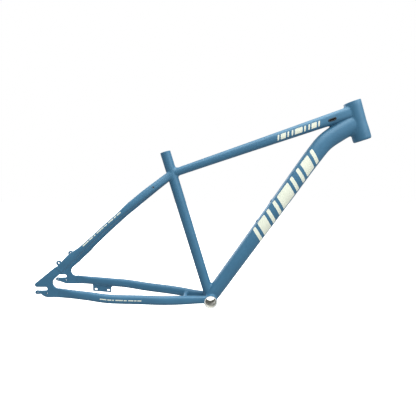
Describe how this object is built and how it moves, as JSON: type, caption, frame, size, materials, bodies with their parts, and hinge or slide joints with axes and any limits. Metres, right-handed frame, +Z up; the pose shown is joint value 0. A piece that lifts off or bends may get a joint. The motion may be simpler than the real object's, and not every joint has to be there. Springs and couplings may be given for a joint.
{
  "type": "bicycle frame",
  "caption": "Welded aluminium hardtail mountain bike frame with a bent down tube, slotted rear-opening dropouts, a disc brake mount and a kickstand plate.",
  "frame": {"origin": "middle of the bottom bracket shell, on the crank axis", "axes": "+X towards the front wheel, +Y to the rider's left, +Z up"},
  "size_m": [0.9877, 0.1549, 0.6324],
  "materials": {
    "frame_paint": "satin slate blue paint over welded aluminium tube",
    "bare_aluminium": "machined bare aluminium",
    "port_rubber": "matt black rubber"
  },
  "bodies": {
    "root": {"head_tube": "frame_paint", "top_tube": "frame_paint", "down_tube": "frame_paint", "seat_tube": "frame_paint", "dropout_right": "frame_paint", "dropout_left": "frame_paint", "chainstay_right": "frame_paint", "chainstay_left": "frame_paint", "seatstay_right": "frame_paint", "seatstay_left": "frame_paint", "chainstay_bridge": "frame_paint", "seatstay_bridge": "frame_paint", "disc_brake_mount": "frame_paint", "kickstand_plate": "frame_paint", "weld_seat_shell": "frame_paint", "weld_down_shell": "frame_paint", "weld_seat_down": "frame_paint", "weld_top_seat": "frame_paint", "weld_top_head": "frame_paint", "weld_down_head": "frame_paint", "weld_top_down": "frame_paint", "weld_chainstay_right": "frame_paint", "weld_seatstay_right": "frame_paint", "weld_chain_bridge_right": "frame_paint", "weld_seat_bridge_right": "frame_paint", "weld_chainstay_left": "frame_paint", "weld_seatstay_left": "frame_paint", "weld_chain_bridge_left": "frame_paint", "weld_seat_bridge_left": "frame_paint", "bottom_bracket_shell": "bare_aluminium", "rack_boss_right": "frame_paint", "rack_boss_left": "frame_paint", "bottle_boss_lower": "frame_paint", "bottle_boss_upper": "frame_paint", "cable_port": "port_rubber"}
  },
  "joints": []
}
